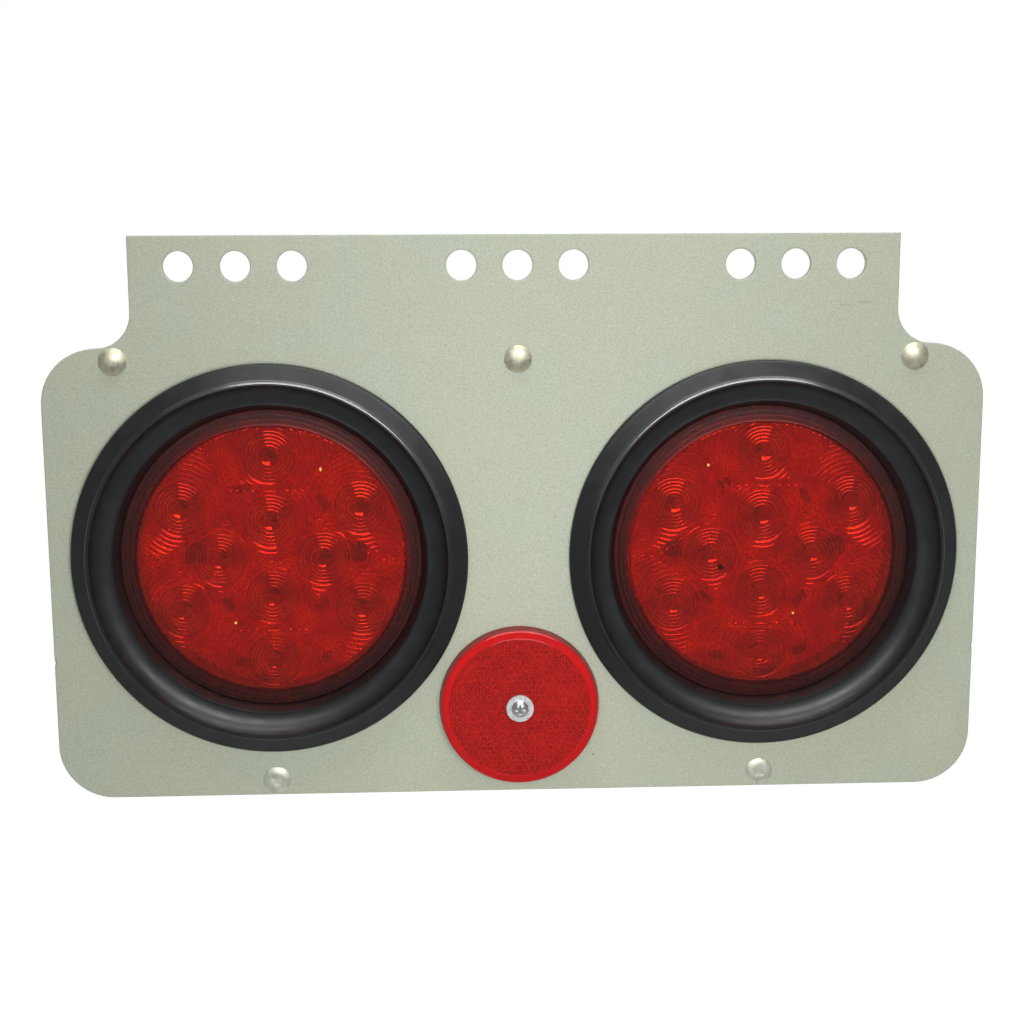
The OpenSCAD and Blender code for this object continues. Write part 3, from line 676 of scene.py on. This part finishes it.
# %% Teeth of an optic
EYE_R, EYE_H, RAISE, TOOTH_FOOT = 3.0, 0.42, 0.6, 0.1
FINE_RINGS, FINE_PITCH, FINE_STEEP = 5, 1.25, 0.5
COARSE_RINGS, COARSE_PITCH, COARSE_STEEP = 9, 1.7, 0.9
STEEP, GENTLE = math.tan(math.radians(14.6)), math.tan(math.radians(1.0))
SEAM_H, CELL_WALL, TOOTH_GAP, FADE = 0.35, 0.12, 0.04, 1.0
eye_curve = (EYE_R ** 2 + EYE_H ** 2) / (2 * EYE_H)
eye = np.linspace(0, EYE_R, 8)
tooth_r = list(eye)
tooth_level = list(-RAISE - EYE_H + eye_curve - np.sqrt(eye_curve ** 2 - eye ** 2))
ring_r = EYE_R
for rings, pitch, raised, steep, outwards in (
        (FINE_RINGS, FINE_PITCH, RAISE, FINE_STEEP, True),
        (COARSE_RINGS, COARSE_PITCH, 0.0, COARSE_STEEP, False)):
    run = np.array([0, steep, pitch - 2 * TOOTH_GAP])
    rise = TOOTH_FOOT + np.array([(run[2] - steep) * GENTLE + steep * STEEP,
                                  (run[2] - steep) * GENTLE, 0])
    if outwards:
        run, rise = run[2] - run[::-1], rise[::-1]
    for ring in range(rings):
        tooth_r += list(ring_r + TOOTH_GAP + run)
        tooth_level += list(-raised - rise)
        ring_r += pitch
tooth_r, tooth_level = np.array(tooth_r), np.array(tooth_level)
print("an optic has", FINE_RINGS, "fine and up to", COARSE_RINGS, "coarse rings")


def optic(own):
    """Fan of one cell. Along the ray to each edge point the distance stops at the cell's
    edge and the level follows the teeth, which fade over the last millimetre: level = seam +
    share (tooth - seam)."""
    edge = cell_edge(own)
    ray = edge - own
    reach = np.linalg.norm(ray, axis=1)
    away = np.minimum(tooth_r[:, None], reach - CELL_WALL)
    flat = own + ray * (away / reach)[..., None]
    share = np.clip((reach - CELL_WALL - away) / FADE, 0, 1)
    level = OPTIC_LEVEL - SEAM_H + share * (tooth_level[:, None] + SEAM_H)
    foot = np.column_stack([edge, np.full(len(edge), OPTIC_LEVEL - SEAM_H)])
    points = np.vstack([np.dstack([flat, level]).reshape(-1, 3), foot])
    return points, grid_faces(len(tooth_r) + 1, len(edge), False, True)


# %% The whole lens
LENS_FACE_R, LENS_FACE_LEVEL, LENS_FLANGE_R, LENS_REAR_LEVEL = 47.5, -0.9, 54.2, -7.08
DISC_DEPTH = 2.9
lens_section = rounded([
    (0, LENS_FACE_LEVEL), (46.0, LENS_FACE_LEVEL), (LENS_FACE_R, LENS_FACE_LEVEL, 0.3),
    (LENS_FACE_R, -1.825, 0.15), (49.07, -1.825, 0.25), (49.07, -2.75, 0.15),
    (50.63, -2.75, 0.25), (50.63, -3.675, 0.15), (52.2, -3.675, 0.25),
    (52.2, LIP_LEVEL, 0.15), (LENS_FLANGE_R, LIP_LEVEL, 0.2),
    (LENS_FLANGE_R, LENS_REAR_LEVEL, 0.1), (50.0, LENS_REAR_LEVEL), (50.0, -5.0),
    (47.1, OPTIC_LEVEL - SEAM_H), (OPTIC_RIM_R, OPTIC_LEVEL - SEAM_H)], 3)
lens_shape = join(revolve(lens_section, RIM_STEPS), *[optic(own) for own in LEDS])
DISC_R = EYE_R + FINE_RINGS * FINE_PITCH
lenses = []
for side, centre in LAMPS.items():
    lens = make_piece("red_lens_" + side, lens_shape, centre, ["lens_" + side], 30)
    place = np.empty(len(lens.data.vertices) * 3)
    lens.data.vertices.foreach_get("co", place)
    place = place.reshape(-1, 3)
    flat = place[:, [0, 2]] / MM - centre
    to_led = np.linalg.norm(flat[:, None] - LEDS, axis=2).min(1)
    on_disc = (to_led < DISC_R) & (place[:, 1] > FRONT_Y + DISC_DEPTH * MM)
    lens.data.attributes.new("on_disc", "FLOAT", "POINT").data.foreach_set(
        "value", on_disc.astype(float))
    print(on_disc.sum(), "points lie on the raised discs of the", side, "lens")
    lenses.append(lens)

# %% [markdown]
# The plastic is a clear red glass to the shader, with a fine grain and soft patches in its
# tint, so the board and the LEDs behind it show through the rings. The discs are painted a
# darker red by the attribute that marks their points, a painted shade for the dimmer look
# through their optics. Only the inner side has a glossy coat, for the flashes on the teeth.
# Four painted glints, opaque warm spots that keep their colour, and a dark fleck lie where
# they are on the real lamps.

# %% Red lamp plastic
RED_BRIGHT, RED_DEEP = (1.0, 0.045, 0.008, 1), (0.56, 0.012, 0.008, 1)
RED_PATCH, RED_DISC_SHADE = (0.56, 0.018, 0.014, 1), (0.29, 0.030, 0.030, 1)
PAINTED_GLINT_COLOUR, DIRT = (1.0, 0.66, 0.16, 1), (0.02, 0.01, 0.01, 1)
INNER_FROM, INNER_TO = 2.6, 3.0
PAINTED_GLINTS = [((-68.2, -69.2), (0.5, 0.9)),
          ((-98.9, -123.1), (0.6, 0.6)),
          ((66.3, -69.2), (0.55, 0.65)),
          ((97.3, -122.4), (0.5, 0.5))]
FLECK, FLECK_SIZE = (71.2, -105.7), (1.35, 1.25)
lens_red, tree, shader = new_finish(
    "lamp_lens", IOR=1.49, Coat_IOR=2.4, Coat_Roughness=0.05)
grain = levels(tree, noise(tree, 1500, 3, 0.7), 0.42, 0.58)
clear = blend(tree, grain, RED_BRIGHT, RED_DEEP)
patches = levels(tree, noise(tree, 130, 2, 0.5), 0.42, 0.58, 0.0, 0.7)
clear = blend(tree, patches, clear, RED_PATCH)
on_disc = add(tree, "Attribute", attribute_name="on_disc", output="Fac")
# Painted shade: the raised discs get a darker red for the dimmer look through their optics.
red_with_painted_light = blend(tree, on_disc, clear, RED_DISC_SHADE)
# Painted glints: four opaque warm spots on the lens stand in for sparks of light.
painted_glint = largest(tree, [spot(tree, place, size, 0.6) for place, size in PAINTED_GLINTS])
red_with_painted_light = blend(tree, painted_glint, red_with_painted_light, PAINTED_GLINT_COLOUR)
tree.links.new(combine(tree, "SUBTRACT", 1.0, painted_glint), shader.inputs["Transmission Weight"])
colour(tree, shader, blend(tree, spot(tree, FLECK, FLECK_SIZE, 0.6, 0.35), red_with_painted_light, DIRT))
behind_face = levels(tree, along(tree, "Y"), FRONT_Y + INNER_FROM * MM, FRONT_Y + INNER_TO * MM)
on_optics = combine(tree, "MULTIPLY", in_lamps(tree, OPTIC_RIM_R, 0.99), behind_face)
tree.links.new(on_optics, shader.inputs["Coat Weight"])
face = in_lamps(tree, LENS_FACE_R + 0.1, 0.98)
tree.links.new(levels(tree, face, 0, 1, 0.45, 0.06), shader.inputs["Roughness"])
bump(tree, shader, combine(tree, "MULTIPLY", noise(tree, 1100, 3, 0.6), on_optics), 0.008)
for lens in lenses:
    dress(lens, lens_red)
print("each lens has", len(lenses[0].data.polygons), "faces")

# %% [markdown]
# ## Inside the lamp
# Behind the lens a white circuit board carries the LEDs, four resistors and four diodes.
# The housing is black moulded plastic. These solids are right as they are: only their
# finishes are missing. What shows of them through the rings gives the lens its mottling. An
# LED is pale, with a dark spot at the tip of its dome: all of the dome that reaches within a
# set depth of the plate's face.

# %% Housing, board and parts on it
TIP_FROM, TIP_TO = 13.5, 13.1
plastic, tree, shader = new_finish("housing_plastic")
colour(tree, shader, blend(tree, levels(tree, noise(tree, 70, 4), 0.35, 0.7),
                           (0.012, 0.012, 0.013, 1), (0.022, 0.022, 0.024, 1)))
tree.links.new(levels(tree, noise(tree, 500, 3), 0.3, 0.7, 0.36, 0.5),
               shader.inputs["Roughness"])
bump(tree, shader, noise(tree, 2200, 2), 0.02)

board, tree, shader = new_finish("board", Roughness=0.35)
traces = add(tree, "TexVoronoi", {"Vector": place_of(tree), "Scale": 95}, "Distance",
             feature="DISTANCE_TO_EDGE")
track = levels(tree, traces, 0.03, 0.06, 1.0, 0.0)
lacquer = blend(tree, levels(tree, noise(tree, 110, 4, 0.65), 0.38, 0.62),
                (0.60, 0.60, 0.57, 1), (0.90, 0.90, 0.87, 1))
colour(tree, shader, blend(tree, track, lacquer, (0.76, 0.76, 0.72, 1)))
bump(tree, shader, track, 0.03)

led_clear, tree, shader = new_finish("led_body", Roughness=0.12)
body = blend(tree, levels(tree, noise(tree, 600, 3), 0.3, 0.7),
             (0.62, 0.60, 0.58, 1), (0.78, 0.76, 0.73, 1))
at_tip = levels(tree, along(tree, "Y"), FRONT_Y + TIP_FROM * MM, FRONT_Y + TIP_TO * MM)
colour(tree, shader, blend(tree, at_tip, body, (0.05, 0.045, 0.045, 1)))
bump(tree, shader, noise(tree, 900, 2), 0.01)

chip_black, tree, shader = new_finish("chip_black", Roughness=0.4)
colour(tree, shader, blend(tree, noise(tree, 1500, 3), (0.20, 0.20, 0.20, 1),
                           (0.34, 0.34, 0.34, 1)))
chip_grey, tree, shader = new_finish("chip_grey", Roughness=0.45)
colour(tree, shader, blend(tree, noise(tree, 1500, 3), (0.05, 0.05, 0.055, 1),
                           (0.14, 0.14, 0.145, 1)))
brass, tree, shader = new_finish("contact_brass", Metallic=1.0)
colour(tree, shader, blend(tree, levels(tree, noise(tree, 700, 4), 0.4, 0.7),
                           (0.72, 0.52, 0.22, 1), (0.42, 0.28, 0.12, 1)))
tree.links.new(levels(tree, noise(tree, 900, 3), 0.3, 0.7, 0.22, 0.4),
               shader.inputs["Roughness"])
INSIDE = {"housing": plastic, "circuit_board": board, "leds": led_clear,
          "resistors": chip_black, "diodes": chip_grey, "contact_pins": brass}
for side in LAMPS:
    for part_name, finish in INSIDE.items():
        dress(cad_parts[part_name + "_" + side], finish)
print("finishes inside the lamps:", ", ".join(INSIDE))

# %% [markdown]
# ## The reflector
# Light that enters the reflector meets the corners of cubes moulded into its back, bounces
# off three faces and returns the way it came. Seen along the cubes' long diagonal, their
# corners form a triangle lattice in which the level steps down by one third of the diagonal
# from one kind of corner to the next: kind = (i + 2 j) mod 3. That field closes the hollow
# side of a revolved cap, so that light really turns round inside it.

# %% Cap section
FOOT_R, CAP_R, FIELD_R, HOLLOW_OUT_R, BOSS_R, BORE_R = 28.3, 27.6, 24.8, 25.3, 4.75, 1.9
BORDER_LEVEL, FACE_LEVEL, HOLLOW_LEVEL, DISC_LEVEL = 5.1, 5.5, 3.5, 1.62
cap_section = rounded([
    (BOSS_R, HOLLOW_LEVEL), (BOSS_R, DISC_LEVEL), (BORE_R, DISC_LEVEL), (BORE_R, FACE_LEVEL, 0.1),
    (FIELD_R, FACE_LEVEL, 0.22), (FIELD_R + 0.12, BORDER_LEVEL, 0.12),
    (CAP_R, BORDER_LEVEL, 0.8), (FOOT_R, 0.0, 0.15), (26.3, 0.0, 0.1), (26.3, DISC_LEVEL),
    (HOLLOW_OUT_R, DISC_LEVEL), (HOLLOW_OUT_R, HOLLOW_LEVEL)], 5)

# %% Cube corners
CUBE_PITCH, CAP_TURNS = 2.1, 192
FIELD_ROOM, LEAST_WALL = 0.15, 0.15
LATTICE = CUBE_PITCH / math.sqrt(3)
CUBE_STEP = CUBE_PITCH / math.sqrt(6)


def cube_field():
    """Hexagonal cells of six triangles round each deepest corner, kept where the whole cell
    lies between boss and rim."""
    row = LATTICE * math.sqrt(3) / 2
    span = int(HOLLOW_OUT_R / row) + 2
    i, j = np.meshgrid(np.arange(-2 * span, 2 * span + 1), np.arange(-span, span + 1))
    i, j = i.ravel(), j.ravel()
    flat = np.stack([LATTICE * (i + j / 2), row * j], -1)
    kind = (i + 2 * j) % 3
    number = {(a, b): n for n, (a, b) in enumerate(zip(i.tolist(), j.tolist()))}
    around = [(1, 0), (0, 1), (-1, 1), (-1, 0), (0, -1), (1, -1)]
    away = np.hypot(*flat.T)
    reach = LATTICE + FIELD_ROOM
    inside = (away > BOSS_R + reach) & (away < HOLLOW_OUT_R - reach)
    faces = []
    for n in np.flatnonzero(inside & (kind == 0)):
        ring = [number[(i[n] + a, j[n] + b)] for a, b in around]
        faces += [(n, ring[k], ring[k - 5]) for k in range(6)]
    level = HOLLOW_LEVEL - CUBE_STEP * np.where(kind == 0, 2, np.where(kind == 1, 1, 0))
    return np.column_stack([flat, np.maximum(level, DISC_LEVEL + LEAST_WALL)]), faces


def close_field(piece):
    """Bridges the field's two open rims to the boss and to the wall of the hollow."""
    grid = bmesh.new()
    grid.from_mesh(piece.data)
    bmesh.ops.delete(grid, geom=[v for v in grid.verts if not v.link_faces], context="VERTS")
    rims = [edge for edge in grid.edges if len(edge.link_faces) == 1]
    middle_of = Vector(put_in_place([(0, 0, HOLLOW_LEVEL)], REFLECTOR)[0])
    halfway = (BOSS_R + HOLLOW_OUT_R) / 2 * MM
    for inner in (True, False):
        chosen = [edge for edge in rims
                  if ((edge.verts[0].co - middle_of).xz.length < halfway) == inner]
        bmesh.ops.bridge_loops(grid, edges=chosen)
    bmesh.ops.recalc_face_normals(grid, faces=grid.faces)
    print("open edges left in the reflector:", sum(not e.is_manifold for e in grid.edges))
    grid.to_mesh(piece.data)
    grid.free()
    piece.data.set_sharp_from_angle(angle=math.radians(30))


cap = make_piece("red_reflector", join(revolve(cap_section, CAP_TURNS), cube_field()),
                 REFLECTOR, ["reflector_lens"], 30)
close_field(cap)

# %% [markdown]
# What is seen of cubes this small is a web of dark rings on bright red, so rings are drawn
# over the field. Their middles form a triangle lattice of the cubes' own pitch, turned by 30
# degrees to the cubes. It is two rectangular lattices, one shifted by half a cell: wrapping
# the place into a cell of each gives the distance to the nearest middle.

# %% Reflector plastic
RING_IN, RING_OUT, ENDLESS = (0.25, 0.55), (0.95, 0.60), 1000.0
reflector_red, tree, shader = new_finish("reflector_red", Transmission_Weight=0.5, IOR=1.49)
field = blend(tree, levels(tree, noise(tree, 1700, 3, 0.7), 0.40, 0.60),
              (0.98, 0.026, 0.014, 1), (0.52, 0.012, 0.012, 1))
to_middles = []
for shift in (0.0, 0.5):
    place = add(tree, "VectorMath", {0: place_of(tree), 1: (
        shift * CUBE_PITCH * MM, 0, (shift * math.sqrt(3) * CUBE_PITCH - REFLECTOR[1]) * MM)})
    half = Vector((CUBE_PITCH / 2, ENDLESS, CUBE_PITCH * math.sqrt(3) / 2)) * MM
    cell = add(tree, "VectorMath", {0: place, 1: half, 2: -half}, operation="WRAP")
    flat = add(tree, "VectorMath", {0: cell, 1: (1, 0, 1)}, operation="MULTIPLY")
    to_middles.append(add(tree, "VectorMath", {0: flat}, "Value", operation="LENGTH"))
to_middle = combine(tree, "MINIMUM", *to_middles)
ring = combine(tree, "MULTIPLY", *[levels(tree, to_middle, low * MM, high * MM)
                                   for low, high in (RING_IN, RING_OUT)])
uneven = levels(tree, noise(tree, 110, 3), 0.3, 0.7, 0.3, 1.0)
seen_rings = combine(tree, "MULTIPLY", ring, uneven)
field = blend(tree, seen_rings, field, (0.24, 0.008, 0.010, 1))
inside = spot(tree, REFLECTOR, (FIELD_R, FIELD_R), 0.995)
on_wall = spot(tree, REFLECTOR, (CAP_R + 0.1, CAP_R + 0.1), 0.992)
# Painted shade: the cap's side wall is coloured a darker red than its face.
border_with_painted_shade = blend(tree, on_wall, (0.38, 0.008, 0.010, 1), (0.98, 0.014, 0.018, 1))
colour(tree, shader, blend(tree, inside, border_with_painted_shade, field))
tree.links.new(levels(tree, on_wall, 0, 1, 0.45, 0.05), shader.inputs["Roughness"])
dress(cap, reflector_red)
backing_red, tree, shader = new_finish("reflector_backing", Roughness=0.4)
colour(tree, shader, blend(tree, levels(tree, noise(tree, 300, 3), 0.35, 0.7),
                           (0.42, 0.012, 0.01, 1), (0.30, 0.01, 0.008, 1)))
dress(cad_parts["reflector_back"], backing_red)

# %% [markdown]
# ## Floor, light and camera
# The plate hangs in surroundings that look white and give a little plain light from all
# round. Reflections see them white only towards the back, which keeps the gloss of rubber and
# lens dark in front. Three soft lamps do the rest. The wide one overhead gives the shapes
# their shade. The upper one, in front and above, shows in reflections and through the lens,
# where steep teeth throw it back as arcs, and gives no plain light. The front one gives plain
# light only and shows nowhere. The floor lies well below and keeps the shadow.

# %% Floor
FLOOR_Z, FLOOR_R, FLOOR_Y = -0.6, 1.5, 0.3
FLOOR_GLOW, BACK_FROM, BACK_TO = 0.78, -0.3, -0.2
bpy.ops.mesh.primitive_circle_add(vertices=96, radius=FLOOR_R, fill_type="NGON",
                                  location=(0, FLOOR_Y, FLOOR_Z))
floor = bpy.context.object
floor.name = "floor"


def seen(tree, mask):
    """1 for rays from the camera and through glass, and the mask for reflected rays."""
    path = tree.nodes.new("ShaderNodeLightPath")
    thrown = combine(tree, "MULTIPLY", path.outputs["Is Glossy Ray"], mask)
    direct = combine(tree, "MAXIMUM", path.outputs["Is Camera Ray"],
                     path.outputs["Is Transmission Ray"])
    return combine(tree, "MAXIMUM", direct, thrown)


floor_white, tree, shader = new_finish("floor_white", Roughness=0.9)
colour(tree, shader, blend(tree, noise(tree, 30, 3), (0.80, 0.80, 0.79, 1),
                           (0.84, 0.84, 0.83, 1)))
shader.inputs["Emission Color"].default_value = (1, 1, 1, 1)
behind_plate = levels(tree, along(tree, "Y"), BACK_FROM, BACK_TO)
tree.links.new(combine(tree, "MULTIPLY", seen(tree, behind_plate), FLOOR_GLOW),
               shader.inputs["Emission Strength"])
dress(floor, floor_white)

# %% Light
AMBIENT, SKY_FROM, SKY_TO = 0.24, -0.05, 0.25
world = bpy.data.worlds.new("surroundings")
bpy.context.scene.world = world
world.use_nodes = True
tree = world.node_tree
behind = add(tree, "SeparateXYZ", {"Vector": add(tree, "TexCoord", output="Generated")}, "Y")
share = seen(tree, levels(tree, behind, SKY_FROM, SKY_TO))
strength = levels(tree, share, 0, 1, AMBIENT, 1.0)
tree.links.new(strength, tree.nodes["Background"].inputs["Strength"])
tree.nodes["Background"].inputs["Color"].default_value = (1, 1, 1, 1)


def lamp(name, place, aim, size, power):
    """A rectangular soft lamp that looks from its place to its aim, in metres and watts."""
    light = bpy.data.lights.new(name, "AREA")
    light.shape, light.size, light.size_y, light.energy = "RECTANGLE", *size, power
    holder = bpy.data.objects.new(name, light)
    holder.location = place
    holder.rotation_euler = (Vector(aim) - Vector(place)).to_track_quat("-Z", "Y").to_euler()
    bpy.context.scene.collection.objects.link(holder)
    return holder


lamp("overhead_lamp", (0.05, -0.2, 0.74), (0.0, 0.0, -0.09), (0.9, 0.2), 3.6)
upper_lamp = lamp("upper_lamp", (0.04, -0.45, 0.20), (0.0, 0.0, -0.10), (0.5, 0.21), 2.5)
upper_lamp.visible_camera = upper_lamp.visible_diffuse = False
front_lamp = lamp("front_lamp", (0.03, -0.353, -0.107), (0.03, 0.0, -0.107), (0.24, 0.24), 0.95)
front_lamp.visible_camera = front_lamp.visible_glossy = front_lamp.visible_transmission = False
bpy.context.scene.view_settings.view_transform = "Standard"

# %% Camera
EYE = Vector((-26.58, -550.42, 8.21)) * MM
YAW, PITCH, ROLL = 0.0444, 0.1681, -0.0043
FOCAL_PX, IMAGE_PX, SENSOR = 1600.4, 1024, 36.0
ahead = Vector((math.sin(YAW) * math.cos(PITCH), math.cos(YAW) * math.cos(PITCH),
                -math.sin(PITCH)))
level_right = Vector((math.cos(YAW), -math.sin(YAW), 0))
level_up = level_right.cross(ahead)
right = level_right * math.cos(ROLL) + level_up * math.sin(ROLL)
up = level_up * math.cos(ROLL) - level_right * math.sin(ROLL)
camera_data = bpy.data.cameras.new("camera")
camera_data.sensor_width = SENSOR
camera_data.lens = SENSOR * FOCAL_PX / IMAGE_PX
camera = bpy.data.objects.new("camera", camera_data)
bpy.context.scene.collection.objects.link(camera)
camera.matrix_world = Matrix.Translation(EYE) @ Matrix((right, up, -ahead)).transposed().to_4x4()
bpy.context.scene.camera = camera
print("lens of", round(camera_data.lens, 2), "mm")
